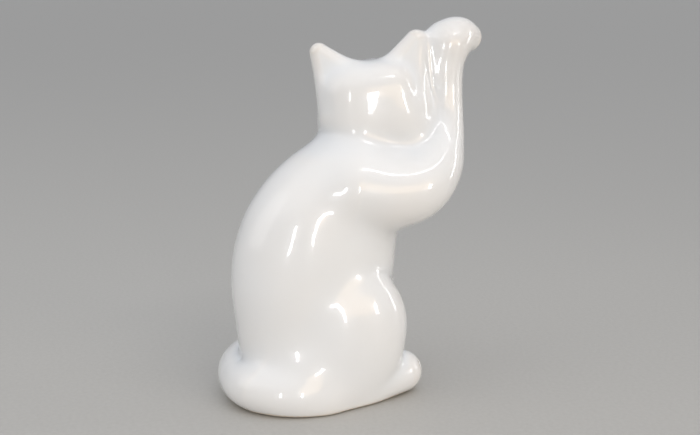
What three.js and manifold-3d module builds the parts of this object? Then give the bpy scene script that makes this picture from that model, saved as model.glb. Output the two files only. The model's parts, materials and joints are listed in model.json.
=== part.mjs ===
// A seated beckoning cat in white glazed ceramic, its right foreleg raised beside its head
// and its tail rolled round its rump.
//
// The figure is hollow. Its sections are cast in plaster moulds and luted together with slip
// before firing, and each cast section is one mesh here, parted at its luting seam.
//
// Millimetres, +Z up. The cat's body faces -Y and its right side is -X, and the origin is
// under the middle of the figure, on the table. Forms are laid out in the cat's own terms:
// right, forward and height, from the point on the table below its spine.

import * as THREE from "three";
import { LoftGeometry } from "three/addons/geometries/LoftGeometry.js";
import { mergeVertices } from "three/addons/utils/BufferGeometryUtils.js";
import Module from "manifold-3d";

// ---- Driving dimensions ----

const WALL = 5; // thickness of the cast shell
const SEAM = 0.3; // clearance left for slip at every luting seam
const NECK_HEIGHT = 186; // where the torso ends and the head sits on it

const FOOT_RING_WIDTH = 9; // flat unglazed ring that the torso stands on
const FOOT_RING_HEIGHT = 2.5; // how far the floor is raised inside that ring
const FLOOR_TOP = FOOT_RING_HEIGHT + WALL;
const POUR_HOLE_RADIUS = 18; // where the slip is poured in and drained

const HEAD_CENTRE = { right: 0, forward: 34, height: 204 };
const HEAD_TURN = 75; // degrees to the cat's left, away from the raised foreleg
const HEAD_ROLL = 8; // degrees, lowering the left ear
const SKULL_RADII = [32, 28, 27.5]; // half width, half depth, half height
const SKULL_SQUARENESS = 3.1; // 2 is an ellipsoid, and more is boxier

const BORE_SHARE = 0.5; // the raised foreleg's bore as a share of its thickness
const BORE_LIMIT = 12;

// Level sections of the torso, from the foot ring up to the neck.
const TORSO_SECTIONS = [
  { height: 0, forward: -4.2, halfLength: 47.5, halfWidth: 37.5 },
  { height: 10, forward: -5, halfLength: 49.5, halfWidth: 38.5 },
  { height: 32, forward: -6.5, halfLength: 53, halfWidth: 39 },
  { height: 55, forward: -7.6, halfLength: 55, halfWidth: 39.5 },
  { height: 85, forward: -7, halfLength: 58, halfWidth: 40 },
  { height: 115, forward: -3.4, halfLength: 57, halfWidth: 39.5 },
  { height: 140, forward: 2.5, halfLength: 51, halfWidth: 37.5 },
  { height: 157, forward: 10.5, halfLength: 44.5, halfWidth: 34 },
  { height: 167, forward: 17, halfLength: 38.8, halfWidth: 31 },
  { height: 176, forward: 24.5, halfLength: 32.5, halfWidth: 27 },
  { height: NECK_HEIGHT, forward: 30, halfLength: 27, halfWidth: 24 },
];

// The thighs and the haunches under them swell out of the torso's sides, in the same casting.
const THIGH = { right: 27, forward: 15, height: 52.5, radii: [21.5, 36, 41] };
const HAUNCH = { right: 26, forward: 2, height: 18, radii: [18, 40, 27] };

// Swellings of the face, in the head's own frame: +X its left, -Y its face, +Z its crown.
const CHEEK = { centre: [20, -3, -10], radii: [16, 18, 15] };
const MUZZLE = { centre: [0, -20, -9], radii: [14, 15.5, 11] };

// Ears, in the head's frame: the two ends of the root and the tip of each blade.
const LEFT_EAR = { inner: [11.5, 6, 21], outer: [25, 8, -4], tip: [29, 2, 37.4] };
const RIGHT_EAR = { inner: [-16.5, 6, 22], outer: [-29, 8, -4], tip: [-37.5, 2, 36.5] };
const EAR_HALF_THICKNESS = { root: 8.5, tip: 6.4 };

// Limbs run along a smooth line through these stations, each with the limb's half thickness.
const RAISED_FORELEG = [
  { right: 18, forward: 18, height: 150, radius: 26 },
  { right: 23, forward: 40, height: 146, radius: 27 },
  { right: 25, forward: 59, height: 149, radius: 24.5 },
  { right: 22, forward: 73, height: 160, radius: 20.5 },
  { right: 17, forward: 81.5, height: 176, radius: 15.8 },
  { right: 13, forward: 85.5, height: 194, radius: 13 },
  { right: 11, forward: 86, height: 212, radius: 12.6 },
  { right: 10, forward: 86, height: 228, radius: 13.6 },
  { right: 9, forward: 89, height: 242, radius: 14.5 },
];
const BECKONING_PAW = [
  { right: 9, forward: 88, height: 243, radius: 14.5 },
  { right: 8, forward: 98, height: 247.5, radius: 13 },
  { right: 7, forward: 105.5, height: 246, radius: 10 },
];
const LEFT_FORELEG = [
  { right: -10, forward: 36, height: 108, radius: 16 },
  { right: -7, forward: 43, height: 72, radius: 13 },
  { right: -4, forward: 47.5, height: 36, radius: 11 },
  { right: -2, forward: 50, height: 14, radius: 11 },
  { right: -1, forward: 56, height: 9.5, radius: 10.5 },
];
const HIND_FOOT = [
  { right: 33, forward: 8, height: 5, radius: 8 },
  { right: 31, forward: 22, height: 7, radius: 10.5 },
  { right: 27, forward: 37, height: 11.5, radius: 13.6 },
  { right: 23, forward: 50, height: 14.2, radius: 15 },
];
const TAIL = [
  { right: -37, forward: -14, height: 16, radius: 13.5 },
  { right: -36.5, forward: -35, height: 21, radius: 14.6 },
  { right: -24, forward: -53, height: 17.2, radius: 15.4 },
  { right: -4, forward: -59, height: 15.2, radius: 15.7 },
  { right: 14, forward: -57, height: 14.6, radius: 15 },
  { right: 27, forward: -45, height: 12.6, radius: 13 },
  { right: 34, forward: -30, height: 10, radius: 10.5 },
  { right: 37, forward: -16, height: 6.5, radius: 7 },
];

// Clay that fills the corner between the raised foreleg and the back of the head.
const WEB = { right: 14, forward: 60, height: 180, radii: [12, 13, 17] };

// ---- Joining and cutting ----

const wasm = await Module();
wasm.setup();

function solidOf(geometry) {
  const bare = new THREE.BufferGeometry().copy(geometry);
  bare.deleteAttribute("normal");
  bare.deleteAttribute("uv");
  const welded = mergeVertices(bare, 1e-4);
  return new wasm.Manifold(
    new wasm.Mesh({
      numProp: 3,
      vertProperties: welded.attributes.position.array,
      triVerts: new Uint32Array(welded.index.array),
    }),
  );
}

function geometryOf(solid) {
  const mesh = solid.getMesh();
  const positions = new Float32Array(mesh.numVert * 3);
  for (let i = 0; i < mesh.numVert; i += 1) {
    positions.set(mesh.vertProperties.subarray(i * mesh.numProp, i * mesh.numProp + 3), i * 3);
  }
  const geometry = new THREE.BufferGeometry();
  geometry.setAttribute("position", new THREE.BufferAttribute(positions, 3));
  geometry.setIndex(new THREE.BufferAttribute(mesh.triVerts, 1));
  geometry.computeVertexNormals();
  return geometry;
}

function without(solid, ...cutters) {
  return cutters.reduce((rest, cutter) => rest.subtract(cutter), solid);
}

// ---- Lofted forms ----

function at({ right, forward, height }) {
  return new THREE.Vector3(-right, -forward, height);
}

// A closed skin over oval stations, each a centre with two half axes.
function loft(stations, around) {
  const rings = stations.map(({ centre, across, deep }) =>
    Array.from({ length: around }, (_, i) => {
      const angle = (2 * Math.PI * i) / around;
      return centre
        .clone()
        .addScaledVector(across, Math.cos(angle))
        .addScaledVector(deep, Math.sin(angle));
    }),
  );
  return new LoftGeometry(rings, { closed: true, capStart: true, capEnd: true });
}

// Stations that round off a form beyond its last one, up to a small flat cap.
const END_STEPS = 3;
const END_SWEEP = THREE.MathUtils.degToRad(78);

function roundedEnd(last, direction, reach) {
  return Array.from({ length: END_STEPS }, (_, i) => {
    const angle = ((i + 1) / END_STEPS) * END_SWEEP;
    return {
      centre: last.centre.clone().addScaledVector(direction, reach * Math.sin(angle)),
      across: last.across.clone().multiplyScalar(Math.cos(angle)),
      deep: last.deep.clone().multiplyScalar(Math.cos(angle)),
    };
  });
}

const LEVEL_STEPS = 16;

// The torso's outer form, or a smaller or larger one all round, from a height upwards.
function torsoForm(grow, from, around) {
  const centres = new THREE.CatmullRomCurve3(TORSO_SECTIONS.map((s) => at({ right: 0, ...s })));
  const sizes = new THREE.CatmullRomCurve3(
    TORSO_SECTIONS.map((s) => new THREE.Vector3(s.halfWidth, s.halfLength, 0)),
  );
  const levels = Array.from({ length: LEVEL_STEPS + 1 }, (_, i) => {
    const centre = centres.getPoint(i / LEVEL_STEPS);
    const size = sizes.getPoint(i / LEVEL_STEPS);
    return {
      centre,
      across: new THREE.Vector3(size.x + grow, 0, 0),
      deep: new THREE.Vector3(0, size.y + grow, 0),
    };
  });
  const kept = levels.filter((level) => level.centre.z > from);
  const first = { ...kept[0], centre: kept[0].centre.clone().setZ(from) };
  const last = kept[kept.length - 1];
  const top = { ...last, centre: last.centre.clone().setZ(NECK_HEIGHT + grow) };
  return loft([first, ...kept.slice(0, -1), top], around);
}

// A limb with round ends, swept along its stations.
function limbForm(path, grow, around, steps) {
  const line = new THREE.CatmullRomCurve3(path.map(at));
  const radii = path.map((s) => new THREE.Vector3(s.radius + grow, 0, 0));
  const thickness = new THREE.CatmullRomCurve3(radii);
  const frames = line.computeFrenetFrames(steps, false);
  const rings = Array.from({ length: steps + 1 }, (_, i) => {
    const share = line.getUtoTmapping(i / steps);
    const radius = thickness.getPoint(share).x;
    return {
      centre: line.getPoint(share),
      across: frames.normals[i].clone().multiplyScalar(radius),
      deep: frames.binormals[i].clone().multiplyScalar(radius),
    };
  });
  const start = roundedEnd(rings[0], frames.tangents[0].clone().negate(), path[0].radius + grow);
  const end = roundedEnd(rings[steps], frames.tangents[steps], path[path.length - 1].radius + grow);
  return loft([...start.reverse(), ...rings, ...end], around);
}

// ---- The head's own frame ----

const headFrame = new THREE.Matrix4()
  .makeRotationZ(THREE.MathUtils.degToRad(HEAD_TURN))
  .multiply(new THREE.Matrix4().makeRotationY(THREE.MathUtils.degToRad(HEAD_ROLL)))
  .setPosition(at(HEAD_CENTRE));

function ellipsoid(centre, radii, grow, around, high) {
  return new THREE.SphereGeometry(1, around, high)
    .scale(...radii.map((r) => r + grow))
    .translate(...centre);
}

// A boxy ellipsoid: each point of a ball is pushed out along its own direction.
function skullForm(grow, around, high) {
  const ball = new THREE.SphereGeometry(1, around, high).rotateX(Math.PI / 2);
  const position = ball.attributes.position;
  const [width, depth, height] = SKULL_RADII.map((r) => r + grow);
  for (let i = 0; i < position.count; i += 1) {
    const way = new THREE.Vector3().fromBufferAttribute(position, i);
    const reach =
      Math.abs(way.x / width) ** SKULL_SQUARENESS +
      Math.abs(way.y / depth) ** SKULL_SQUARENESS +
      Math.abs(way.z / height) ** SKULL_SQUARENESS;
    way.multiplyScalar(reach ** (-1 / SKULL_SQUARENESS));
    position.setXYZ(i, way.x, way.y, way.z);
  }
  return ball;
}

const FACE_AROUND = 16;
const FACE_HIGH = 10;
const SKULL_AROUND = 24;
const SKULL_HIGH = 14;

function faceSwelling(centre, radii, grow) {
  const form = ellipsoid(centre, radii, grow, FACE_AROUND, FACE_HIGH);
  return solidOf(form.applyMatrix4(headFrame));
}

function skullSolid(grow) {
  return solidOf(skullForm(grow, SKULL_AROUND, SKULL_HIGH).applyMatrix4(headFrame));
}

function headSolid(grow) {
  const [x, y, z] = CHEEK.centre;
  return skullSolid(grow)
    .add(faceSwelling([x, y, z], CHEEK.radii, grow))
    .add(faceSwelling([-x, y, z], CHEEK.radii, grow))
    .add(faceSwelling(MUZZLE.centre, MUZZLE.radii, grow));
}

// An ear is a blade that narrows from its root to its point.
const EAR_STEPS = 4;
const EAR_AROUND = 16;

function earSolid(ear, grow) {
  const inner = new THREE.Vector3(...ear.inner);
  const outer = new THREE.Vector3(...ear.outer);
  const tip = new THREE.Vector3(...ear.tip);
  const wide = outer.clone().sub(inner).normalize();
  const rise = tip.clone().sub(inner.clone().lerp(outer, 0.5)).normalize();
  const thick = rise.clone().cross(wide).normalize();
  const stations = Array.from({ length: EAR_STEPS + 1 }, (_, i) => {
    const share = i / EAR_STEPS;
    const edges = [inner.clone().lerp(tip, share), outer.clone().lerp(tip, share)];
    const half = THREE.MathUtils.lerp(EAR_HALF_THICKNESS.root, EAR_HALF_THICKNESS.tip, share) + grow;
    return {
      centre: edges[0].clone().lerp(edges[1], 0.5),
      across: wide.clone().multiplyScalar(edges[0].distanceTo(edges[1]) / 2 + half),
      deep: thick.clone().multiplyScalar(half),
    };
  });
  const point = roundedEnd(stations[EAR_STEPS], rise, EAR_HALF_THICKNESS.tip + grow);
  return solidOf(loft([...stations, ...point], EAR_AROUND).applyMatrix4(headFrame));
}

// ---- The torso casting, with both thighs and haunches ----

const OUTER_AROUND = 32; // sides of the torso's outer form
const INNER_AROUND = 24; // sides of its hollow, its foot ring and its openings
const SWELL = { around: 20, high: 12 };
const HOLLOW = { around: 14, high: 8 };

function swelling(form, side, grow, { around, high }) {
  const centre = at({ ...form, right: side * form.right }).toArray();
  return solidOf(ellipsoid(centre, form.radii, grow, around, high));
}

function torsoOuter(grow) {
  return solidOf(torsoForm(grow, 0, OUTER_AROUND))
    .add(swelling(THIGH, 1, grow, SWELL))
    .add(swelling(THIGH, -1, grow, SWELL))
    .add(swelling(HAUNCH, 1, grow, SWELL))
    .add(swelling(HAUNCH, -1, grow, SWELL));
}

// An upright oval cutter that follows one of the torso's sections, drawn in from its edge.
function ovalCutter(section, inset, from, to) {
  const stations = [from, to].map((height) => ({
    centre: at({ right: 0, forward: section.forward, height }),
    across: new THREE.Vector3(section.halfWidth - inset, 0, 0),
    deep: new THREE.Vector3(0, section.halfLength - inset, 0),
  }));
  return solidOf(loft(stations, INNER_AROUND));
}

const limb = (path, grow, around, steps) => solidOf(limbForm(path, grow, around, steps));

const mirrored = (path) => path.map((s) => ({ ...s, right: -s.right }));

// Everything stands on the table.
const TABLE = { reach: 240, depth: 60 };
const underTable = solidOf(
  new THREE.BoxGeometry(TABLE.reach, TABLE.reach, TABLE.depth).translate(0, 0, -TABLE.depth / 2),
);

const BORE_AROUND = 16;
const BORE_STEPS = 10;
const torsoGrown = torsoOuter(SEAM);
const borePath = RAISED_FORELEG.slice(0, -2).map((s) => ({
  ...s,
  radius: Math.min(BORE_SHARE * s.radius, BORE_LIMIT),
}));
const bore = limb(borePath, 0, BORE_AROUND, BORE_STEPS);

function torsoSolid() {
  const [footSection] = TORSO_SECTIONS;
  const neckSection = TORSO_SECTIONS[TORSO_SECTIONS.length - 1];
  const hollow = solidOf(torsoForm(-WALL, FLOOR_TOP, INNER_AROUND))
    .add(swelling(THIGH, 1, -WALL, HOLLOW))
    .add(swelling(THIGH, -1, -WALL, HOLLOW));
  const neck = ovalCutter(neckSection, WALL, NECK_HEIGHT - 2 * WALL, NECK_HEIGHT + 2 * WALL);
  const recess = ovalCutter(footSection, FOOT_RING_WIDTH, -FOOT_RING_HEIGHT, FOOT_RING_HEIGHT);
  const pourHole = solidOf(
    new THREE.CylinderGeometry(POUR_HOLE_RADIUS, POUR_HOLE_RADIUS, 4 * FLOOR_TOP, INNER_AROUND)
      .rotateX(Math.PI / 2)
      .translate(0, -footSection.forward, 0),
  );
  return without(torsoOuter(0), underTable, hollow, neck, recess, pourHole, bore);
}

// ---- The other castings, each cut to the faces that it is luted to ----

const LIMB_AROUND = 16;
const FORELEG = { around: 20, steps: 14 };
const PAW_STEPS = 4;
const LEFT_FORELEG_STEPS = 10;
const FOOT_STEPS = 8;
const TAIL_STEPS = 14;

const hindFoot = (path, grow) => limb(path, grow, LIMB_AROUND, FOOT_STEPS);

const headHollow = skullSolid(-WALL);
const headGrown = headSolid(SEAM);
const earsGrown = [LEFT_EAR, RIGHT_EAR].map((ear) => earSolid(ear, SEAM));
const hindFeetGrown = [HIND_FOOT, mirrored(HIND_FOOT)].map((path) => hindFoot(path, SEAM));

const raisedForeleg = limb(RAISED_FORELEG, 0, FORELEG.around, FORELEG.steps)
  .add(limb(BECKONING_PAW, 0, LIMB_AROUND, PAW_STEPS))
  .add(swelling(WEB, 1, 0, SWELL));
const leftForeleg = limb(LEFT_FORELEG, 0, LIMB_AROUND, LEFT_FORELEG_STEPS);
const tail = limb(TAIL, 0, LIMB_AROUND, TAIL_STEPS);

const castings = {
  torso: torsoSolid(),
  head: without(headSolid(0), torsoGrown, headHollow),
  left_ear: without(earSolid(LEFT_EAR, 0), headGrown),
  right_ear: without(earSolid(RIGHT_EAR, 0), headGrown),
  raised_foreleg: without(raisedForeleg, torsoGrown, headGrown, ...earsGrown, bore),
  left_foreleg: without(leftForeleg, torsoGrown, underTable, ...hindFeetGrown),
  right_hind_foot: without(hindFoot(HIND_FOOT, 0), torsoGrown, underTable),
  left_hind_foot: without(hindFoot(mirrored(HIND_FOOT), 0), torsoGrown, underTable),
  tail: without(tail, torsoGrown, underTable, ...hindFeetGrown),
};

// ---- Scene graph ----

const GLAZE = { color: 0xf2f0ec, roughness: 0.08, metalness: 0 };

const figure = new THREE.Group();
for (const [name, solid] of Object.entries(castings)) {
  const mesh = new THREE.Mesh(geometryOf(solid), new THREE.MeshStandardMaterial(GLAZE));
  mesh.name = name;
  figure.add(mesh);
}

// The origin is under the middle of the whole figure.
const box = new THREE.Box3().setFromObject(figure);
const middle = box.getCenter(new THREE.Vector3());
figure.position.set(-middle.x, -middle.y, -box.min.z);

export default figure;
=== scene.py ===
# %% [markdown]
# # A white glazed beckoning cat
# The figure is a hollow ceramic ornament: a cat that sits with its right foreleg raised beside
# its head and its tail rolled round its rump. Its sections are cast in plaster moulds, luted
# together with slip, fettled until no seam shows, glazed white all over and fired. Blender can
# make such a form by sculpting, by subdivision surfaces or from a mathematical field. Glaze shows
# every dent in its reflections, so this lesson uses a field: it is perfectly smooth, and pressing
# two forms together with a soft fillet is one line.
#
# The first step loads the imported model, which fixes where everything is, and keeps its box.

import json
import math

import bpy
import numpy as np
import openvdb
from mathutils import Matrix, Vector

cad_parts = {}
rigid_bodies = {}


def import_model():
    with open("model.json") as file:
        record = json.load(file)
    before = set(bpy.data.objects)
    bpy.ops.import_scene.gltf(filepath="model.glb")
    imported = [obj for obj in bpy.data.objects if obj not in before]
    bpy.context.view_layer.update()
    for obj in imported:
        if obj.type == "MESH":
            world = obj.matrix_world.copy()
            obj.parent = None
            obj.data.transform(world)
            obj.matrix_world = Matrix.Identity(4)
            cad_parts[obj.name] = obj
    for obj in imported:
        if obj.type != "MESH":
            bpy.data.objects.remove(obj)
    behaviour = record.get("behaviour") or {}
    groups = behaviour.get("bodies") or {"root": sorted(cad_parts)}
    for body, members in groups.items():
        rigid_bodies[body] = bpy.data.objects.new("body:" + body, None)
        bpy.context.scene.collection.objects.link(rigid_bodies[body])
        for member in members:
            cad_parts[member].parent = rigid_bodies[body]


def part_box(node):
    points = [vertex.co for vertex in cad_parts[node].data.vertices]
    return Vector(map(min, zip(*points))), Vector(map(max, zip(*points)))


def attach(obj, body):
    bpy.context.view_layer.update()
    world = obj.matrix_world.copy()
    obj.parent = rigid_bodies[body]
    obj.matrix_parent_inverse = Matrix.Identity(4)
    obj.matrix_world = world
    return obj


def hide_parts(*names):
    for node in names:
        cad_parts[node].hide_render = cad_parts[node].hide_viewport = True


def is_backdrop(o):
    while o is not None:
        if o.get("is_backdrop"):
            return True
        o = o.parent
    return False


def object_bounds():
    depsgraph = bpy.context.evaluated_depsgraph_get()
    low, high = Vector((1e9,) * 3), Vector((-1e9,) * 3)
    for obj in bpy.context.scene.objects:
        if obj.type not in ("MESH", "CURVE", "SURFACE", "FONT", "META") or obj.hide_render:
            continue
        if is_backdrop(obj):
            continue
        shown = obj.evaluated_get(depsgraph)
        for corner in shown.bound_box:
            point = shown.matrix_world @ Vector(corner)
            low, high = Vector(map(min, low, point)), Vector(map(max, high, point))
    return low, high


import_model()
cad_low, cad_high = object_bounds()
MM = 0.001
print("frame box in mm:", [round(v / MM, 1) for v in (*cad_low, *cad_high)])

# %% [markdown]
# ## The torso's profile, and where the cat stands
# A modeller lays a figure out in the animal's own terms: how far to its right, how far forward and
# how high above the table, in millimetres, from the point under its spine. Here the body faces -Y
# and its right side is -X. The torso is a stack of level ovals, each with its middle, half length
# and half width. It is the same on both sides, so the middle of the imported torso's box is the
# spine, and its rearmost point says how far back the spine stands.

# %% Torso profile and the spine's place
TORSO = np.array([  # height, forward, half length, half width
    (-8, -4.0, 46.5, 37.0),
    (0, -4.2, 47.5, 37.5),
    (10, -5.0, 49.5, 38.5),
    (32, -6.5, 53.0, 39.0),
    (55, -7.6, 55.0, 39.5),
    (85, -7.0, 58.0, 40.0),
    (115, -3.4, 57.0, 39.5),
    (140, 2.5, 51.0, 37.5),
    (157, 10.5, 44.5, 34.0),
    (167, 17.0, 38.8, 31.0),
    (176, 24.5, 32.5, 27.0),
    (186, 30.0, 27.0, 24.0),
    (200, 33.0, 22.0, 20.0),
])


def smooth_line(knots, values, where):
    """Values carried smoothly between knots, by cubics with averaged slopes."""
    knots, values = np.asarray(knots, float), np.asarray(values, float)
    slopes = np.gradient(values, knots)
    i = np.clip(np.searchsorted(knots, where) - 1, 0, len(knots) - 2)
    gap = knots[i + 1] - knots[i]
    s = np.clip((where - knots[i]) / gap, 0, 1)
    start = (2 * s**3 - 3 * s**2 + 1) * values[i] + (s**3 - 2 * s**2 + s) * gap * slopes[i]
    end = (3 * s**2 - 2 * s**3) * values[i + 1] + (s**3 - s**2) * gap * slopes[i + 1]
    return start + end


BACK_TOP = 186  # the back's rearmost point lies below this height
levels = np.linspace(0, BACK_TOP, 2 * BACK_TOP + 1)
heights, middles, half_lengths = TORSO[:, 0], TORSO[:, 1], TORSO[:, 2]
backs = smooth_line(heights, half_lengths, levels) - smooth_line(heights, middles, levels)
torso_low, torso_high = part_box("torso")
SPINE_X = (torso_low.x + torso_high.x) / 2 / MM
SPINE_Y = torso_high.y / MM - backs.max()
NECK = torso_high.z / MM


def at(right, forward, height):
    """A point laid out in the cat's own terms, in the frame's millimetres."""
    return np.array([SPINE_X - right, SPINE_Y - forward, height], float)


print("the spine stands at", round(SPINE_X, 2), round(SPINE_Y, 2))
print("the neck is", round(NECK, 1), "mm high")

# %% [markdown]
# ## The modeller's tools
# A field gives each point of space its distance from a form's surface: below zero is inside the
# clay. The tools are a ball pressed into an oval, a rod with round ends for limbs, and a flat
# blade for ears. `press` puts two forms together and leaves a fillet at the join, as a wet finger
# does, and `carve` takes one form out of another with a soft edge.

# %% Fields for clay forms
def press(a, b, fillet):
    """Two forms pressed together; the cube keeps reflections smooth across the fillet."""
    reach = 1.5 * fillet
    near = np.maximum(reach - np.abs(a - b), 0) / reach
    return np.minimum(a, b) - near**3 * fillet / 4


def carve(a, tool, softness):
    return -press(-a, tool, softness)


def oval(p, centre, radii):
    """An ellipsoid along p's own axes."""
    q = p - centre
    near = np.sqrt(np.square(q / radii).sum(-1))
    slope = np.sqrt(np.square(q / np.square(radii)).sum(-1)) + 1e-9
    return near * (near - 1) / slope


def rod(p, a, b, radius_a, radius_b):
    """A rod with round ends that tapers from a to b."""
    a, b = np.asarray(a, float), np.asarray(b, float)
    along = b - a
    share = np.clip((p - a) @ along / (along @ along), 0, 1)
    reach = np.linalg.norm(p - a - share[:, None] * along, axis=1)
    return reach - radius_a - share * (radius_b - radius_a)


CLOSE = 28  # mm from a limb's surface, past which its field may be rough


def limb(stations, steps):
    """A rounded limb: a ball swept along a smooth line through (right, forward, height, radius)."""
    knots = np.array([(*at(*s[:3]), s[3]) for s in stations])
    run = np.r_[0, np.cumsum(np.linalg.norm(np.diff(knots[:, :3], axis=0), axis=1))]
    fine = 16  # table rows to a step
    where = np.linspace(0, run[-1], steps * fine + 1)
    table = np.stack([smooth_line(run, knots[:, k], where) for k in range(4)], 1)
    balls = table[::fine]

    def reach(p, place):
        place = np.clip(place * fine, 0, steps * fine - 1e-6)
        row = place.astype(int)
        share = (place - row)[:, None]
        ball = table[row] * (1 - share) + table[row + 1] * share
        return np.linalg.norm(p - ball[:, :3], axis=1) - ball[:, 3]

    def lowest(p, place, step):
        """One step of a search for the nearest ball, by a parabola through three of them."""
        low, mid, high = (reach(p, place + k * step) for k in (-1, 0, 1))
        bow = np.maximum(low - 2 * mid + high, 1e-9)
        return np.clip(place + step * np.clip((low - high) / (2 * bow), -1, 1), 0, steps)

    def field(p):
        centres = balls[:, :3]
        square = np.square(p).sum(1)[:, None] + np.square(centres).sum(1) - 2 * p @ centres.T
        rough = np.sqrt(np.maximum(square, 0)) - balls[:, 3]
        distance = rough.min(1)
        close = np.flatnonzero(np.abs(distance) < CLOSE)
        place = rough[close].argmin(1).astype(float)
        for step in (1, 0.4):
            place = lowest(p[close], place, step)
        distance[close] = reach(p[close], place)
        return distance

    return field


def blade(p, corners, radii):
    """A triangular blade with round edges, its half thickness given at each corner."""
    a, b, c = (np.asarray(v, float) for v in corners)
    ab, ac, ap = b - a, c - a, p - a
    flat = np.array([[ab @ ab, ab @ ac], [ab @ ac, ac @ ac]])
    v, w = np.linalg.solve(flat, np.stack([ap @ ab, ap @ ac]))
    inside = (v >= 0) & (w >= 0) & (v + w <= 1)
    normal = np.cross(ab, ac)
    thick = (1 - v - w) * radii[0] + v * radii[1] + w * radii[2]
    face = np.abs(ap @ normal) / np.linalg.norm(normal) - thick
    edge = np.minimum.reduce([
        rod(p, a, b, radii[0], radii[1]),
        rod(p, b, c, radii[1], radii[2]),
        rod(p, c, a, radii[2], radii[0]),
    ])
    return np.where(inside, np.minimum(face, edge), edge)


print("two faces pressed together under an 8 mm fillet swell by", -press(0.0, 0.0, 8.0), "mm")

# %% [markdown]
# ## Torso and thighs
# The torso leans forward from a wide rump to the neck, and the thighs swell out of its sides. They
# come out of one mould. The ovals of the profile are joined by the same smooth line at every
# height, so the back has no rings in it.

# %% Torso casting
TORSO_TOP = NECK + 12  # the neck runs on inside the head
TOP_SOFTNESS = 6
THIGH = (27, 15, 52.5)
THIGH_RADII = np.array([21.5, 36, 41])
THIGH_FILLET = 9
HAUNCH = (26, 2, 18)
HAUNCH_RADII = np.array([18, 40, 27])
HAUNCH_FILLET = 20


def torso(p):
    height = np.clip(p[:, 2], TORSO[0, 0], TORSO[-1, 0])
    forward, half_length, half_width = (
        smooth_line(TORSO[:, 0], TORSO[:, k], height) for k in (1, 2, 3)
    )
    x = (p[:, 0] - SPINE_X) / half_width
    y = (SPINE_Y - p[:, 1] - forward) / half_length
    near = np.hypot(x, y)
    slope = np.hypot(x / half_width, y / half_length) + 1e-9
    return carve(near * (near - 1) / slope, TORSO_TOP - p[:, 2], TOP_SOFTNESS)


def torso_casting(p):
    body = torso(p)
    for side in (1, -1):
        thigh = oval(p, at(side * THIGH[0], *THIGH[1:]), THIGH_RADII)
        haunch = oval(p, at(side * HAUNCH[0], *HAUNCH[1:]), HAUNCH_RADII)
        body = press(press(body, thigh, THIGH_FILLET), haunch, HAUNCH_FILLET)
    return body


print("half width of the thighs:", THIGH[0] + THIGH_RADII[0], "mm")

# %% [markdown]
# ## The head's own frame
# The head is turned to the cat's left, away from the raised foreleg, and rolled a little so that
# the left ear hangs lower. It is easier to model facing straight ahead, so every form of the head
# is laid out in a frame of its own, +X to the cat's left, -Y out of the face and +Z to the crown,
# and points are turned into that frame before its fields are read.

# %% Head frame
HEAD_TURN = math.radians(75)
HEAD_ROLL = math.radians(8)
HEAD_FORWARD, HEAD_ABOVE_NECK = 34, 18
head_centre = at(0, HEAD_FORWARD, NECK + HEAD_ABOVE_NECK)
turn = np.array([
    (math.cos(HEAD_TURN), -math.sin(HEAD_TURN), 0),
    (math.sin(HEAD_TURN), math.cos(HEAD_TURN), 0),
    (0, 0, 1),
])
roll = np.array([
    (math.cos(HEAD_ROLL), 0, math.sin(HEAD_ROLL)),
    (0, 1, 0),
    (-math.sin(HEAD_ROLL), 0, math.cos(HEAD_ROLL)),
])
HEAD_AXES = turn @ roll


def in_head(p):
    return (p - head_centre) @ HEAD_AXES


def from_head(q):
    return np.asarray(q, float) @ HEAD_AXES.T + head_centre


print("the face looks along", np.round(-HEAD_AXES[:, 1], 2))

# %% [markdown]
# ## Head
# The skull is a boxy oval, flatter at the crown and the back than an egg. Round cheeks and a muzzle
# are pressed onto it. The face is a calm, general cat's face: two whisker pads, a small chin and
# nose, and lowered lids.

# %% Skull and face
SKULL_RADII = np.array([32, 28, 27.5])
SKULL_SQUARENESS = 3.1
FACE_FORMS = [  # centre, radii and the fillet that presses it on; x is mirrored
    ((20, -3, -10), (16, 18, 15), 8),
    ((0, -20, -9), (14, 13, 11), 8),
    ((5.4, -31.0, -11.5), (7.0, 5.0, 5.8), 3),
    ((0, -28.5, -18.0), (6.0, 4.5, 4.0), 4),
    ((0, -25.0, 1.0), (4.5, 6.0, 11.0), 7),
    ((13.0, -23.5, 3.0), (7.0, 5.0, 5.0), 4),
    ((0, -34.6, -6.0), (3.0, 2.2, 2.0), 2),
]


def skull(q):
    shares = np.abs(q / SKULL_RADII) ** SKULL_SQUARENESS
    near = shares.sum(-1) ** (1 / SKULL_SQUARENESS)
    lean = np.abs(q / SKULL_RADII) ** (SKULL_SQUARENESS - 1) / SKULL_RADII
    slope = np.linalg.norm(lean, axis=1) / np.maximum(near, 1e-6) ** (SKULL_SQUARENESS - 1)
    return (near - 1) / np.maximum(slope, 1e-6)


def head(p):
    q = in_head(p)
    clay = skull(q)
    for (x, y, z), radii, fillet in FACE_FORMS:
        for side in (1, -1) if x else (1,):
            form = oval(q, np.array([side * x, y, z], float), np.array(radii))
            clay = press(clay, form, fillet)
    return clay


print("the skull is", 2 * SKULL_RADII, "mm wide, deep and high")

# %% [markdown]
# ## Ears
# Each ear is a thick blade with a rounded rim. Its back is flush with the side of the head, and
# its front is hollowed with a thumb. The right ear stands further out, where it leans on the
# raised foreleg: the two are cast touching, which is what keeps such a foreleg from snapping off.

# %% Ears
LEFT_EAR = dict(inner=(11.5, 6, 21), outer=(25, 8, -4), tip=(29, 2, 37.4))
RIGHT_EAR = dict(inner=(-20, 5, 21.5), outer=(-29, 8, -4), tip=(-36.5, 2, 36.2))
EAR_RADII = (8.5, 9.0, 6.4)
THUMB_START = (0.3, (0, -12.0, 0), 6.5)  # share of the way to the tip, offset and radius
THUMB_END = (0.78, (0, -7.6, 0), 3.2)
THUMB_SOFTNESS = 3


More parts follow.
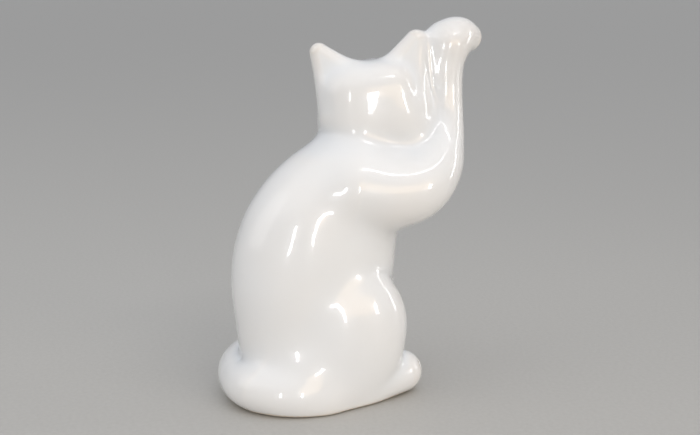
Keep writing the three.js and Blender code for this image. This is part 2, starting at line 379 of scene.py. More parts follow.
def ear(shape):
    def field(p):
        q = in_head(p)
        clay = blade(q, (shape["inner"], shape["outer"], shape["tip"]), EAR_RADII)
        inner, outer, tip = (np.array(shape[k], float) for k in ("inner", "outer", "tip"))
        root = (inner + outer) / 2
        low, high = (root + way * (tip - root) + off for way, off, _radius in (THUMB_START, THUMB_END))
        thumb = rod(q, low, high, THUMB_START[2], THUMB_END[2])
        return carve(clay, thumb, THUMB_SOFTNESS)

    return field


left_ear, right_ear = ear(LEFT_EAR), ear(RIGHT_EAR)
print("ear height above the crown:", LEFT_EAR["tip"][2] + EAR_RADII[2] - SKULL_RADII[2], "mm")

# %% [markdown]
# ## Limbs and tail
# A limb is a line of balls that swell and shrink along its way. Its stations are few, and the
# smooth line between them gives the elbow and the wrist their curves. The paws end in four toes,
# parted by three shallow grooves.

# %% Limbs, paws and tail
PAWS = {  # each paw's last ball (right, forward, height, radius) and the gap between its grooves
    "raised_paw": ((7, 105.3, 245.4, 10), 4.6),
    "left_forepaw": ((-1, 56, 9.5, 10.5), 4.9),
    "right_hind_foot": ((23, 50, 14.2, 15), 7.2),
    "left_hind_foot": ((-23, 50, 14.2, 15), 7.2),
}
GROOVE_RADIUS = 1.4
GROOVE_LIFT = 0.5  # its line runs this far outside the ball
GROOVE_FADE = 0.35  # radians over which it runs out at each end
GROOVE_CLEAR = 2  # how far its faded ends stand off the clay
GROOVE_SOFTNESS = 1.6


def grooves(clay, p, paw, low, high):
    """Parts the toes at the front of a paw: arcs round its last ball, from angle low to high."""
    (*ball, radius), spread = PAWS[paw]
    q = p - at(*ball)
    forward, up = -q[:, 1], q[:, 2]
    angle = np.arctan2(up, forward)
    past_low = np.clip((angle - low) / GROOVE_FADE, 0, 1)
    short_of_high = np.clip((high - angle) / GROOVE_FADE, 0, 1)
    fade = past_low * short_of_high
    for step in (-1, 0, 1):
        across = q[:, 0] - step * spread
        rim = math.sqrt(radius**2 - (step * spread) ** 2)
        arc = np.hypot(across, np.hypot(forward, up) - rim - GROOVE_LIFT) - GROOVE_RADIUS * fade
        clay = carve(clay, arc + GROOVE_CLEAR * (1 - fade), GROOVE_SOFTNESS)
    return clay


upper_foreleg = limb([
    (18, 18, 150, 26), (22.7, 40, 146, 26.9), (24.7, 59, 149, 24.4), (22, 73, 160, 20.4),
    (17, 81.5, 176, 15.8), (13, 85.5, 194, 13), (11, 86, 212, 12.6), (10, 86, 228, 13.6),
    (9, 89, 242, 14.5),
], steps=36)
beckoning_paw = limb([
    (9, 88, 242, 14.4), (8, 98, 246.4, 12.9), PAWS["raised_paw"][0],
], steps=6)
straight_foreleg = limb([
    (-10, 36, 108, 16), (-7, 43, 72, 13), (-4, 47.5, 36, 11), (-2, 50, 14, 11),
    PAWS["left_forepaw"][0],
], steps=16)
rolled_tail = limb([
    (-37, -14, 16, 13.1), (-36.5, -35, 20.8, 14.1), (-24, -53, 17.2, 15.3), (-4, -58.8, 15.2, 15.6),
    (14, -57, 14.6, 15), (27, -45, 12.6, 13), (34, -30, 10, 10.5), (37, -16, 6.5, 7),
], steps=28)
HIND_FOOT = [(33, 8, 5, 8), (31, 22, 7, 10.5), (27, 37, 11.5, 13.6)]  # as far as its last ball
WRIST_FILLET = 6
WEB, WEB_RADII = (12, 58, 184), np.array([15, 15, 26])  # clay between the foreleg and the head
WEB_FILLET = 12


def raised_foreleg(p):
    clay = press(upper_foreleg(p), beckoning_paw(p), WRIST_FILLET)
    clay = press(clay, oval(p, at(*WEB), WEB_RADII), WEB_FILLET)
    return grooves(clay, p, "raised_paw", -1.2, 0.9)


def left_foreleg(p):
    return grooves(straight_foreleg(p), p, "left_forepaw", -0.6, 1.0)


def hind_foot(side, paw):
    stations = [(side * right, *rest) for right, *rest in HIND_FOOT]
    foot = limb([*stations, PAWS[paw][0]], steps=14)
    return lambda p: grooves(foot(p), p, paw, -0.6, 0.9)


right_hind_foot, left_hind_foot = hind_foot(1, "right_hind_foot"), hind_foot(-1, "left_hind_foot")
(_right, forward, _height, radius), _spread = PAWS["right_hind_foot"]
print("hind feet reach", forward + radius, "mm forward")

# %% [markdown]
# ## The whole figure
# The sections are pressed together in the order that a maker lutes them: head on neck, foreleg on
# shoulder and ear, then feet and tail. Each join has its own fillet. The underside is rubbed flat,
# so that the figure stands, and inside the foot ring the floor is raised a little.

# %% Luting the sections together
FOOT_RING_WIDTH, FOOT_RING_HEIGHT = 9.0, 2.5
FOOT_SOFTNESS, FLOOR_SOFTNESS = 2.5, 1.2
POUR_HOLE_RADIUS = 18.0
FILLETS = dict(left_foreleg=8, left_ear=8, right_ear=5.5, head=8, raised_foreleg=13, foot=4.5)
TAIL_FILLETS = (5, 20)  # on the cat's left, and on its right where the tip sinks into the flank
TAIL_CHANGE = (2, 26)  # the change lies between these distances to the right of the spine
LEFT_EAR_ROOT, RIGHT_EAR_ROOT = 12, 6  # heights in the head's frame
ROOT_SLANT = 0.6


def rooted(ear_form, root):
    """An ear's form for the seams alone: below its root, the skin belongs to the head."""
    return lambda p: ear_form(p) + ROOT_SLANT * np.maximum(root - in_head(p)[:, 2], 0)


SECTIONS = {
    "torso": torso_casting,
    "head": head,
    "left_ear": rooted(left_ear, LEFT_EAR_ROOT),
    "right_ear": rooted(right_ear, RIGHT_EAR_ROOT),
    "raised_foreleg": raised_foreleg,
    "left_foreleg": left_foreleg,
    "right_hind_foot": right_hind_foot,
    "left_hind_foot": left_hind_foot,
    "tail": rolled_tail,
}


def raised_floor(p):
    """The shallow oval recess under the torso, inside the foot ring."""
    radii = TORSO[1, 2:] - FOOT_RING_WIDTH
    x = (p[:, 0] - SPINE_X) / radii[1]
    y = (SPINE_Y - p[:, 1] - TORSO[1, 1]) / radii[0]
    near = np.hypot(x, y)
    slope = np.hypot(x / radii[1], y / radii[0]) + 1e-9
    return np.maximum(near * (near - 1) / slope, p[:, 2] - FOOT_RING_HEIGHT)


def figure(p):
    clay = press(torso_casting(p), left_foreleg(p), FILLETS["left_foreleg"])
    eared = press(head(p), left_ear(p), FILLETS["left_ear"])
    eared = press(eared, right_ear(p), FILLETS["right_ear"])
    clay = press(clay, eared, FILLETS["head"])
    clay = press(clay, raised_foreleg(p), FILLETS["raised_foreleg"])
    (narrow, wide), (start, end) = TAIL_FILLETS, TAIL_CHANGE
    share = np.clip((SPINE_X - p[:, 0] - start) / (end - start), 0, 1)
    clay = press(clay, rolled_tail(p), narrow + (wide - narrow) * share)
    feet = np.minimum(right_hind_foot(p), left_hind_foot(p))
    clay = press(clay, feet, FILLETS["foot"])
    clay = carve(clay, p[:, 2], FOOT_SOFTNESS)
    return carve(clay, raised_floor(p), FLOOR_SOFTNESS)


inside = figure(at(0, 0, 90)[None])
print("depth of clay at the middle of the body:", round(-inside[0], 1), "mm")

# %% [markdown]
# ## Skinning the clay
# The field has to become faces. It is read on a fine grid, and OpenVDB, which comes with Blender,
# lays an even net of quads where it crosses zero. Reading the whole block of space would be slow,
# so a coarse grid finds the blocks that the surface passes through, and only those are read finely.
# Each corner is then slid onto the exact surface along the field's slope.

# %% Skin
PITCH = 1.3  # mm between the net's corners
BLOCK = 4  # fine steps to a coarse block
FAR = 4 * PITCH
FINE_STEP = 0.2  # mm, the step that slopes are read with
NEAR_BLOCKS = 1.4  # the surface may pass through a block whose middle is this near, in blocks


def slope_of(field, p, step):
    """The field's slope at p, and its Laplacian: positive on ridges, negative in creases."""
    steps = step * np.eye(3)
    ahead = np.stack([field(p + s) for s in steps], 1)
    behind = np.stack([field(p - s) for s in steps], 1)
    return (ahead - behind) / (2 * step), ((ahead + behind).sum(1) - 6 * field(p)) / step**2


def onto_surface(p, rounds=2):
    for _ in range(rounds):
        slope, _bend = slope_of(figure, p, FINE_STEP)
        steepness = np.maximum(np.square(slope).sum(1), 0.05)  # never a step that flies away
        p = p - slope * (figure(p) / steepness)[:, None]
    return p


def read_field(field, low, blocks):
    span = PITCH * BLOCK
    index = np.stack(np.meshgrid(*map(np.arange, blocks), indexing="ij"), -1).reshape(-1, 3)
    middle = field(low + (index + 0.5) * span)
    grid = np.repeat(middle, BLOCK**3).reshape(*blocks, BLOCK, BLOCK, BLOCK)
    grid = np.sign(grid) * FAR
    corner = np.stack(np.meshgrid(*[np.arange(BLOCK)] * 3, indexing="ij"), -1).reshape(-1, 3)
    close = index[np.abs(middle) < NEAR_BLOCKS * span]
    points = low + (close[:, None] * BLOCK + corner) * PITCH
    values = field(points.reshape(-1, 3)).reshape(-1, BLOCK, BLOCK, BLOCK)
    grid[tuple(close.T)] = np.clip(values, -FAR, FAR)
    return grid.transpose(0, 3, 1, 4, 2, 5).reshape(*(n * BLOCK for n in blocks))


net_low = np.array(cad_low) / MM - 2.3 * PITCH
net_high = np.array(cad_high) / MM + 3 * PITCH
blocks = np.ceil((net_high - net_low) / (PITCH * BLOCK)).astype(int)
volume = openvdb.FloatGrid(FAR)
volume.copyFromArray(read_field(figure, net_low, blocks).astype(np.float32))
corners, quads = volume.convertToQuads(0.0)
corners = onto_surface(corners * PITCH + net_low)
quads = quads.astype(int)
furthest = float(np.abs(figure(corners)).max())
print(len(corners), "corners and", len(quads), "quads, off the surface by", round(furthest, 4), "mm")

# %% [markdown]
# ## Parting the skin at the luting seams
# Each section is one casting, and it is kept as a piece of its own. A boolean cut would leave slivers
# along the joins, so the skin is shared out instead: each quad belongs to the section whose own form
# lies nearest. A maker's seam is a clean line, so stray quads are handed over by a vote of their
# neighbours.

# %% Sections
def edges_of(faces):
    pairs = np.stack([faces, np.roll(faces, -1, 1)], -1).reshape(-1, 2)
    return pairs, np.sort(pairs, 1)


_, edge_keys = edges_of(quads)
_, edge_of = np.unique(edge_keys, axis=0, return_inverse=True)
order = np.argsort(edge_of.ravel(), kind="stable")
sides = (order // 4).reshape(-1, 2)  # every edge of the closed skin has two quads
nearest = np.stack([form(corners[quads].mean(1)) for form in SECTIONS.values()])
owner = nearest.argmin(0)


def votes(rows, labels, size):
    count = np.zeros((size, len(SECTIONS)), int)
    np.add.at(count, (rows, labels), 1)
    return count


VOTING_ROUNDS = 6
MAJORITY = 3  # of a quad's four neighbours
voters = np.r_[sides[:, 0], sides[:, 1]]
for _ in range(VOTING_ROUNDS):
    ballots = np.r_[owner[sides[:, 1]], owner[sides[:, 0]]]
    count = votes(voters, ballots, len(quads))
    owner = np.where(count.max(1) >= MAJORITY, count.argmax(1), owner)
print("quads:", {name: int((owner == i).sum()) for i, name in enumerate(SECTIONS)})

# %% [markdown]
# ## Drawing the seams straight
# So far a seam is a stair of quad edges. A knife run along a template would be straight, so the
# corners along each seam are slid over the surface onto the line where the two forms are equally
# near. Neighbouring sections share those corners exactly, so no crack shows under the glaze.

# %% Seam lines
LONGEST_SLIDE = 0.55 * PITCH  # so that no quad folds over


def slide_to_seam(p, one, other):
    """Moves p along the surface to where two sections' forms are equally near."""
    def lead(x):
        return one(x) - other(x)

    slope, _bend = slope_of(lead, p, 0.3)
    normal, _bend = slope_of(figure, p, FINE_STEP)
    normal /= np.linalg.norm(normal, axis=1)[:, None]
    slope -= normal * (slope * normal).sum(1)[:, None]
    steepness = np.maximum(np.square(slope).sum(1), 0.2)
    move = -slope * (lead(p) / steepness)[:, None]
    reach = np.linalg.norm(move, axis=1)[:, None]
    return p + move * np.minimum(1, LONGEST_SLIDE / np.maximum(reach, 1e-6))


touch = votes(quads.ravel(), np.repeat(owner, 4), len(corners)) > 0
forms = list(SECTIONS.values())
for i in range(len(forms)):
    for j in range(i + 1, len(forms)):
        on_seam = np.flatnonzero(touch[:, i] & touch[:, j] & (touch.sum(1) == 2))
        if len(on_seam):
            corners[on_seam] = slide_to_seam(corners[on_seam], forms[i], forms[j])
corners = onto_surface(corners, 1)
print("corners on seams:", int((touch.sum(1) > 1).sum()))

# %% [markdown]
# ## Hollow castings
# Slip sets against the plaster to an even wall, and the rest is poured off. A Solidify modifier
# could give that wall, but it would cross itself in the ears and toes. The field knows how deep the
# clay is, so each corner's own depth is measured first: as far in as the clay is sound, and evened
# out with its neighbours. The field's bend is kept too, for the glaze colour and its painted crease
# shade.

# %% Wall thickness
WALL, THINNEST = 4.6, 0.8
SOUND = 0.72  # the share of a step inwards that must be real depth
RIDGE_STEP = 3.0  # mm, coarse enough to feel a whole ridge or crease
FIRST_DEPTH, DEPTH_STEP, SLACK = 1.2, 0.4, 0.1  # mm
EVENING_ROUNDS = 6
slope, _bend = slope_of(figure, corners, FINE_STEP)
normals = slope / np.linalg.norm(slope, axis=1)[:, None]
depth = np.full(len(corners), THINNEST)
for reach in np.arange(FIRST_DEPTH, WALL + SLACK, DEPTH_STEP):
    sound = -figure(corners - reach * normals) > SOUND * reach
    sound_before = depth > reach - DEPTH_STEP - SLACK
    depth = np.where(sound & sound_before, reach, depth)
_slope, ridge = slope_of(figure, corners, RIDGE_STEP)
edge_ends = quads[:, [0, 1, 1, 2, 2, 3, 3, 0]].reshape(-1, 2)
neighbours = np.bincount(edge_ends[:, 0], minlength=len(corners))
for _ in range(EVENING_ROUNDS):
    total = np.bincount(edge_ends[:, 0], depth[edge_ends[:, 1]], len(corners))
    depth = np.minimum(depth, total / neighbours)
print("wall from", round(float(depth.min()), 1), "to", round(float(depth.max()), 1), "mm")

# %% [markdown]
# ## Closing each casting
# A casting has an outside, an inside and an edge. So each section is its part of the skin, the same
# part copied inwards by the wall, and a rim that joins the two along every open edge, round the pour
# hole as well. Reflections follow the field's own slope at each corner, so the glaze looks smooth
# however coarse the net is. The inside, the rims and the wiped foot stay bare.

# %% Closed sections
FOOT_NORMAL = -0.6  # faces steeper than this look down
GLAZED, BARE = 0, 1  # material slots


def closed_section(name, faces):
    """One section as a closed mesh: outer skin, inner wall, and a rim that joins them."""
    used, local = np.unique(faces, return_inverse=True)
    local = local.reshape(faces.shape)
    size = len(used)
    directed, keys = edges_of(local)
    _, first, count = np.unique(keys, axis=0, return_index=True, return_counts=True)
    start, end = directed[first[count == 1]].T  # an open edge has one face only
    rim = np.stack([end, start, start + size, end + size], 1)
    skin = corners[used]
    points = np.r_[skin, skin - depth[used, None] * normals[used]] * MM
    polygons = np.r_[local, local[:, ::-1] + size, rim]
    mesh = bpy.data.meshes.new(name)
    mesh.from_pydata(points, [], polygons.tolist())
    smooth = np.r_[np.ones(2 * len(local), bool), np.zeros(len(rim), bool)]
    mesh.polygons.foreach_set("use_smooth", smooth)
    outward = normals[used][local].reshape(-1, 3)
    inward = -normals[used][local[:, ::-1]].reshape(-1, 3)
    flat = np.zeros((4 * len(rim), 3))  # zero leaves a rim its own flat faces
    mesh.normals_split_custom_set(np.r_[outward, inward, flat].tolist())
    bend = mesh.attributes.new("ridge", "FLOAT", "POINT")
    bend.data.foreach_set("value", np.r_[ridge[used], ridge[used]].astype(np.float32))
    looks_down = normals[faces].mean(1)[:, 2] < FOOT_NORMAL
    wiped = looks_down & (corners[faces].mean(1)[:, 2] < FOOT_RING_HEIGHT + 0.5)
    slots = np.r_[np.where(wiped, BARE, GLAZED), np.full(len(local) + len(rim), BARE)]
    mesh.polygons.foreach_set("material_index", slots)
    mesh.update()
    piece = bpy.data.objects.new(name, mesh)
    bpy.context.scene.collection.objects.link(piece)
    return piece


middle = corners[quads].mean(1)
from_hole = np.hypot(middle[:, 0] - SPINE_X, SPINE_Y - middle[:, 1] - TORSO[1, 1])
on_floor = np.abs(middle[:, 2] - FOOT_RING_HEIGHT) < 1
pour_hole = (from_hole < POUR_HOLE_RADIUS) & on_floor
castings = {}
for i, name in enumerate(SECTIONS):
    faces = quads[(owner == i) & ~pour_hole]
    castings[name] = closed_section("glazed_" + name, faces)
    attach(castings[name], "root")
    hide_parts(name)
    low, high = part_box(name)
    bound = np.array(castings[name].bound_box)
    past = max((np.array(low) - bound.min(0)).max(), (bound.max(0) - np.array(high)).max()) / MM
    print(name, len(faces), "quads; past its packed node by", round(float(past), 1), "mm")

# %% [markdown]
# ## Glaze
# The whiteness is the clay and its slip; the glaze over it is a thin clear glass. So the material
# has two layers: a white body, and a coat with smooth reflections of its own. The white is painted
# a little darker and cooler in creases, as painted shade, where glaze also pools; over ridges the
# glaze runs thin and the warm clay shows through. The skin's stored ridge value tells which is which.
# A few iron specks lie in the clay.

# %% Glaze colour
def finish(name):
    """A new material, its tree and shader, and a short way to add nodes to it."""
    material = bpy.data.materials.new(name)
    material.use_nodes = True
    tree = material.node_tree
    shader = next(n for n in tree.nodes if n.type == "BSDF_PRINCIPLED")

    def add(kind, sources=None, values=None, **settings):
        node = tree.nodes.new("ShaderNode" + kind)
        for key, value in settings.items():
            setattr(node, key, value)
        for socket, value in (values or {}).items():
            node.inputs[socket].default_value = value
        for socket, source in (sources or {}).items():
            tree.links.new(source, node.inputs[socket])
        return node

    return material, tree, shader, add


def ramp(add, source, stops, blend="LINEAR"):
    node = add("ValToRGB", {"Fac": source})
    node.color_ramp.interpolation = blend
    elements = node.color_ramp.elements
    while len(elements) < len(stops):
        elements.new(0.5)
    for element, (place, colour) in zip(elements, stops):
        element.position = place
        element.color = (*colour, 1) if isinstance(colour, tuple) else (colour, colour, colour, 1)
    return node.outputs["Color"]


glaze, tree, shader, add = finish("white_glaze_finish")
place = add("TexCoord").outputs["Object"]
bend = add("Attribute", attribute_name="ridge").outputs["Fac"]
# The ridge value is low in creases: it drives the painted crease shade and the thin glaze on ridges.
crease_shade_and_thin_glaze = add("MapRange", {"Value": bend}, {"From Min": -0.2, "From Max": 0.26}).outputs["Result"]
cloud = add("TexNoise", {"Vector": place}, {"Scale": 24.0, "Detail": 0.0}).outputs["Fac"]
crease_shade_and_thin_glaze = add("MixRGB", {"Color1": crease_shade_and_thin_glaze, "Color2": cloud}, {"Fac": 0.22}).outputs["Color"]
# Painted shade: the lowest stop darkens and cools the white in creases, where shade falls and glaze
# pools; the top stop is the warm clay under thin glaze on ridges.
white = ramp(add, crease_shade_and_thin_glaze, [
    (0.20, (0.82, 0.84, 0.86)),
    (0.42, (0.875, 0.88, 0.88)),
    (0.62, (0.89, 0.88, 0.865)),
    (0.95, (0.87, 0.82, 0.76)),
], "B_SPLINE")
speckle = add("TexVoronoi", {"Vector": place}, {"Scale": 70.0})
rare = add("SeparateColor", {"Color": speckle.outputs["Color"]}).outputs["Red"]
chosen = ramp(add, rare, [(0.93, 0.0), (0.935, 1.0)])
dot = ramp(add, speckle.outputs["Distance"], [(0.014, 1.0), (0.03, 0.0)])
speck = add("Math", {0: dot, 1: chosen}, operation="MULTIPLY").outputs["Value"]
tint = add("MixRGB", {"Fac": speck, "Color1": white}, {"Color2": (0.33, 0.24, 0.16, 1)})
tree.links.new(tint.outputs["Color"], shader.inputs["Base Color"])
print("glaze colour from", len(tree.nodes), "nodes")

# %% [markdown]
# ## Glaze surface
# Glaze is never quite flat. It keeps slow waves from the mould and the hand that cleaned its seams,
# a fine orange peel from the firing, and a few pinholes where gas came out. The waves bend the
# long reflections, which is what tells the eye that this is ceramic and not plastic. They act on
# the body and on the coat alike, but the orange peel lies in the coat alone.

# %% Glaze surface
def bump(add, height, distance, under=None):
    sources = {"Height": height}
    if under:
        sources["Normal"] = under
    return add("Bump", sources, {"Strength": 1.0, "Distance": distance}).outputs["Normal"]


waves = add("TexNoise", {"Vector": place}, {"Scale": 30.0, "Detail": 1.0}).outputs["Fac"]
ripple = add("TexNoise", {"Vector": place}, {"Scale": 95.0, "Detail": 1.0}).outputs["Fac"]
peel = add("TexNoise", {"Vector": place}, {"Scale": 420.0, "Detail": 1.0}).outputs["Fac"]
pits = add("TexVoronoi", {"Vector": place}, {"Scale": 130.0})
odd = add("SeparateColor", {"Color": pits.outputs["Color"]}).outputs["Green"]
few = ramp(add, odd, [(0.95, 0.0), (0.955, 1.0)])
hole = ramp(add, pits.outputs["Distance"], [(0.02, 1.0), (0.05, 0.0)])
pinhole = add("Math", {0: hole, 1: few}, operation="MULTIPLY").outputs["Value"]
level = add("Math", {0: pinhole}, {1: -1.0}, operation="MULTIPLY").outputs["Value"]
cast = bump(add, ripple, 0.00008, bump(add, waves, 0.0004))
skin = bump(add, level, 0.00025, bump(add, peel, 0.000012, cast))
tree.links.new(cast, shader.inputs["Normal"])
tree.links.new(skin, shader.inputs["Coat Normal"])
matt = add("MapRange", {"Value": peel}, {"To Min": 0.24, "To Max": 0.26}).outputs["Result"]
tree.links.new(matt, shader.inputs["Roughness"])
shader.inputs["Coat Weight"].default_value = 1.0
shader.inputs["Coat Roughness"].default_value = 0.03
shader.inputs["Coat IOR"].default_value = 1.52
print("glaze finish from", len(tree.nodes), "nodes")

# %% [markdown]
# ## Bare clay
# Glaze would weld the figure to the kiln shelf, so its underside is wiped, and the inside was
# never glazed. There the clay is bare: dry, faintly warm and finely grained, with a darker bloom
# where it was sponged.

# %% Bare clay
biscuit, tree, shader, add = finish("bare_clay")
place = add("TexCoord").outputs["Object"]
bloom = add("TexNoise", {"Vector": place}, {"Scale": 45.0, "Detail": 4.0}).outputs["Fac"]
grain = add("TexNoise", {"Vector": place}, {"Scale": 1400.0, "Detail": 2.0}).outputs["Fac"]
clay = ramp(add, bloom, [(0.3, (0.62, 0.55, 0.46)), (0.7, (0.78, 0.72, 0.63))])
tree.links.new(clay, shader.inputs["Base Color"])
dry = add("MapRange", {"Value": grain}, {"To Min": 0.75, "To Max": 0.95}).outputs["Result"]
tree.links.new(dry, shader.inputs["Roughness"])
tree.links.new(bump(add, grain, 0.00012), shader.inputs["Normal"])
for piece in castings.values():
    piece.data.materials.append(glaze)
    piece.data.materials.append(biscuit)
print("bare clay from", len(tree.nodes), "nodes")

# %% [markdown]
# ## Brush lines
# Over the glaze, a painter draws the few lines that the modelling only hints at: the closed lids,
# the nose and mouth, the whiskers, and the parting of the toes. Overglaze enamel stands up a little
# from the glass. Each stroke is a flattened tube with tapered, closed ends, laid along points that
# are first slid onto the surface, so it follows every curve under it.

# %% Brush lines
def stroke(line, width, lift=0.32, steps=22, sides=8):
    """Corners and faces of one enamel stroke through the points of a line, in mm."""
    line = np.asarray(line, float)
    run = np.r_[0, np.cumsum(np.linalg.norm(np.diff(line, axis=0), axis=1))]
    where = np.linspace(0, run[-1], steps)
    path = onto_surface(np.stack([smooth_line(run, line[:, k], where) for k in range(3)], 1), 4)
    up, _bend = slope_of(figure, path, 0.3)
    up /= np.linalg.norm(up, axis=1)[:, None]
    along = np.gradient(path, axis=0)
    side = np.cross(along, up)
    side /= np.linalg.norm(side, axis=1)[:, None]
    share = np.linspace(-1, 1, steps + 2)[1:-1]
    swell = (1 - np.abs(share) ** 3)[:, None] ** 0.5
    turns = np.linspace(0, 2 * math.pi, sides, endpoint=False)
    rings = [
        path + swell * (side * math.cos(t) * width / 2 + up * math.sin(t) * lift) for t in turns
    ]
    tips = [2 * path[0] - path[1], 2 * path[-1] - path[-2]]
    points = np.r_[np.stack(rings, 1).reshape(-1, 3), tips]
    faces = []
    for s in range(steps - 1):
        for k in range(sides):
            a, b = s * sides + k, s * sides + (k + 1) % sides
            faces.append((a, b, b + sides, a + sides))
    end = (steps - 1) * sides
    for k in range(sides):
        faces.append((len(points) - 2, (k + 1) % sides, k))
        faces.append((len(points) - 1, end + k, end + (k + 1) % sides))
    return points, faces


def paint(name, strokes):
    points, faces = [], []
    for corners_of, faces_of in strokes:
        start = sum(map(len, points))
        points.append(corners_of)
        faces += [tuple(start + v for v in face) for face in faces_of]
    mesh = bpy.data.meshes.new(name)
    mesh.from_pydata(np.concatenate(points) * MM, [], faces)
    mesh.shade_smooth()
    piece = bpy.data.objects.new(name, mesh)
    bpy.context.scene.collection.objects.link(piece)
    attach(piece, "root")
    return piece


def mirrored(line):
    return [[(side * x, y, z) for x, y, z in line] for side in (1, -1)]


face_lines = [  # a width in mm, and the strokes of that width in the head's frame
    (1.1, mirrored([(6.5, -29, 3.2), (9.5, -30, 0.9), (13.5, -29, 0.4), (17.5, -26, 3.0)])),
    (0.9, mirrored([(0.3, -36, -9.6), (1.4, -36, -12.4), (4.2, -35, -13.6), (7.4, -33, -12.2)])),
    (0.5, mirrored([(11, -32, -9.5), (16, -27, -8.2), (22, -22, -5.8)])),
    (0.5, mirrored([(11, -32, -12.0), (16.5, -27, -11.8), (23, -21, -11.0)])),
    (0.5, mirrored([(10.5, -32, -14.5), (16, -27, -15.4), (22, -21, -16.2)])),
    (3.0, [[(-2.2, -36.5, -5.4), (0, -37, -5.6), (2.2, -36.5, -5.4)]]),
    (1.0, [[(0, -37, -6.2), (0, -36.5, -9.6)]]),
]
face = paint("painted_face", [
    stroke(from_head(line), width) for width, lines in face_lines for line in lines
])
print("the face has", sum(len(lines) for _, lines in face_lines), "strokes")

# %% [markdown]
# ## Toes
# The toes are parted by shallow grooves already, and the painter runs a short line down each groove.
# The same strokes serve: each follows an arc round the paw's last ball, over the grooves' middles.

# %% Toe lines
TOE_LINE_WIDTH = 0.9


def toe_lines(paw, low, high):
    """Three strokes over the front of a paw, from angle low to angle high about its last ball."""
    (*ball, radius), spread = PAWS[paw]
    strokes = []
    for step in (-1, 0, 1):
        rim = math.sqrt(radius**2 - (step * spread) ** 2)
        angles = np.linspace(low, high, 6)
        arc = [(step * spread, -rim * math.cos(a), rim * math.sin(a)) for a in angles]
        strokes.append(stroke(at(*ball) + np.array(arc), TOE_LINE_WIDTH))
    return paint("painted_toes_" + paw, strokes)


toes = [
    toe_lines("raised_paw", -0.8, 0.4),
    toe_lines("left_forepaw", -0.2, 0.75),
    toe_lines("right_hind_foot", -0.25, 0.65),
    toe_lines("left_hind_foot", -0.25, 0.65),
]
print("toe strokes on", len(toes), "paws")

# %% [markdown]
# ## Enamel
# The painter's colour is iron brown, ground with a soft glass and fired last, at a low heat. It dries
# unevenly under the brush: thick places are darker and glossier, thin ones lighter. One noise drives
# the colour, the gloss and a faint relief together, so that they agree.

# %% Enamel
enamel, tree, shader, add = finish("brown_enamel_finish")
place = add("TexCoord").outputs["Object"]
load = add("TexNoise", {"Vector": place}, {"Scale": 260.0, "Detail": 3.0}).outputs["Fac"]
brown = ramp(add, load, [(0.32, (0.36, 0.19, 0.07)), (0.68, (0.15, 0.07, 0.03))])
tree.links.new(brown, shader.inputs["Base Color"])
sheen = add("MapRange", {"Value": load}, {"To Min": 0.18, "To Max": 0.4}).outputs["Result"]
tree.links.new(sheen, shader.inputs["Roughness"])
tree.links.new(bump(add, load, 0.00006), shader.inputs["Normal"])
shader.inputs["Metallic"].default_value = 0.35
for piece in [face, *toes]:
    piece.data.materials.append(enamel)
print("enamel from", len(tree.nodes), "nodes")

# %% [markdown]
# ## Table and camera
# The figure stands on a plain pale table. The camera looks down on it a little from behind its
# right shoulder, from about arm's length.

# %% Table and camera
TABLE_REACH = 20.0  # metres
bpy.ops.mesh.primitive_grid_add(x_subdivisions=4, y_subdivisions=4, size=2 * TABLE_REACH)
table = bpy.context.object
table.name = "pale_table"
table.location.z = -0.0002  # a hair under the foot ring, so the two never flicker
table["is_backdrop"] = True
paper, tree, shader, add = finish("pale_paper")
place = add("TexCoord").outputs["Object"]
fibre = add("TexNoise", {"Vector": place}, {"Scale": 320.0, "Detail": 4.0}).outputs["Fac"]
pale = ramp(add, fibre, [(0.3, (0.50, 0.485, 0.455)), (0.7, (0.53, 0.515, 0.485))])
tree.links.new(pale, shader.inputs["Base Color"])
shader.inputs["Roughness"].default_value = 0.62
table.data.materials.append(paper)

VIEW_TURN = math.radians(22)


def before_camera(side, away, height):
    """A point `side` mm to the right of the spine in the view and `away` mm behind it."""
    right = math.sin(VIEW_TURN) * side - math.cos(VIEW_TURN) * away
    forward = math.cos(VIEW_TURN) * side + math.sin(VIEW_TURN) * away
    return Vector(at(right, forward, height)) * MM


def aim(item, target):
    item.rotation_euler = (target - item.location).to_track_quat("-Z", "Y").to_euler()


camera = bpy.data.objects.new("camera", bpy.data.cameras.new("camera"))
bpy.context.scene.collection.objects.link(camera)
VIEW_SIDE = 19  # the view's middle lies this far to the right of the spine
camera.location = before_camera(VIEW_SIDE, -700, 290)
aim(camera, before_camera(VIEW_SIDE, 0, 125))
camera.data.lens = 53.8
bpy.context.scene.camera = camera
print("camera at", [round(v, 3) for v in camera.location])

# %% [markdown]
# ## Soft light
# White ware needs large soft lights, so that its forms turn slowly from light to shade, and a few
# narrow ones, because a glossy glaze shows each light as a clear small reflection. The broad light
# comes from above the camera and a weaker one from the left. A low warm one gives the base the
# colour that a wooden shop floor would. The pale sky of the studio lights everything a little.

# %% Soft light
figure_middle = before_camera(0, 0, 130)


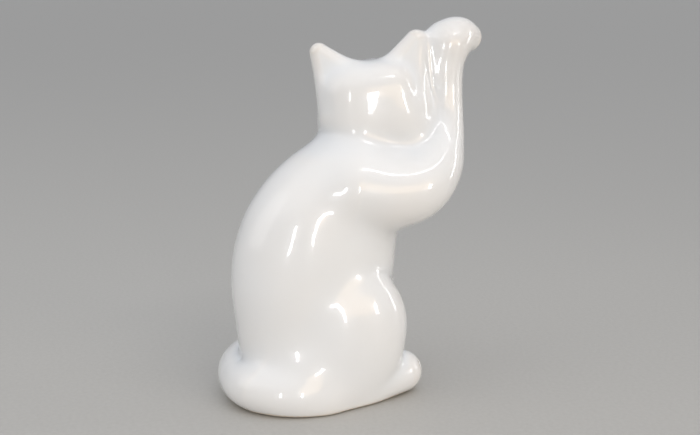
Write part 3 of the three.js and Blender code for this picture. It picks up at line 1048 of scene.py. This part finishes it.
def softbox(name, side, away, height, width, length, power, target=None):
    """A flat lamp aimed at the figure; its place is in mm about the spine, as the camera sees it."""
    data = bpy.data.lights.new(name, "AREA")
    data.shape = "RECTANGLE"
    data.size, data.size_y = width, length
    data.energy = power
    lamp = bpy.data.objects.new(name, data)
    bpy.context.scene.collection.objects.link(lamp)
    lamp.location = before_camera(side, away, height)
    aim(lamp, target or figure_middle)
    return lamp


SPREAD = math.radians(50)  # keeps the small lamps off the table
softbox("ceiling_softbox", -200, -700, 1600, 2.6, 2.6, 5.7).data.color = (0.96, 0.98, 1.0)
softbox("left_softbox", -1500, -600, 900, 1.2, 1.2, 3.4).data.color = (1.0, 0.96, 0.92)
warm = softbox("low_warm_softbox", 900, -1200, 380, 1.3, 0.5, 3.4, before_camera(20, 0, 20))
warm.data.color = (1.0, 0.72, 0.42)
for name, side, away, height, width, length, power in [
    ("left_pane", -235, -1480, 215, 0.07, 0.34, 0.12),
    ("middle_pane", 400, -1450, 165, 0.07, 0.3, 0.12),
    ("right_pane", 1270, -795, 260, 0.1, 0.3, 0.12),
    ("ceiling_tube", 600, -620, 1050, 1.0, 0.035, 0.15),
    ("right_strip", 1400, 130, 330, 0.06, 1.0, 0.16),
]:
    softbox(name, side, away, height, width, length, power).data.spread = SPREAD
world = bpy.data.worlds.new("studio")
bpy.context.scene.world = world
world.use_nodes = True
sky = world.node_tree
direction = sky.nodes.new("ShaderNodeTexCoord").outputs["Generated"]
upward = sky.nodes.new("ShaderNodeSeparateXYZ")
sky.links.new(direction, upward.inputs["Vector"])
paper_sky = sky.nodes.new("ShaderNodeValToRGB")
paper_sky.color_ramp.elements[0].color = (0.27, 0.27, 0.275, 1)
paper_sky.color_ramp.elements[1].position = 0.8
paper_sky.color_ramp.elements[1].color = (0.68, 0.70, 0.74, 1)
sky.links.new(upward.outputs["Z"], paper_sky.inputs["Fac"])
sky.links.new(paper_sky.outputs["Color"], sky.nodes["Background"].inputs["Color"])
bpy.context.scene.view_settings.view_transform = "Standard"

# %% [markdown]
# ## Size
# The last step prints the finished figure's box in millimetres. It should lie inside the imported
# one's box, printed at the start.

# %% Size
low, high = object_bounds()
print("the finished figure in mm:", [round(v / MM, 1) for v in (*low, *high)])
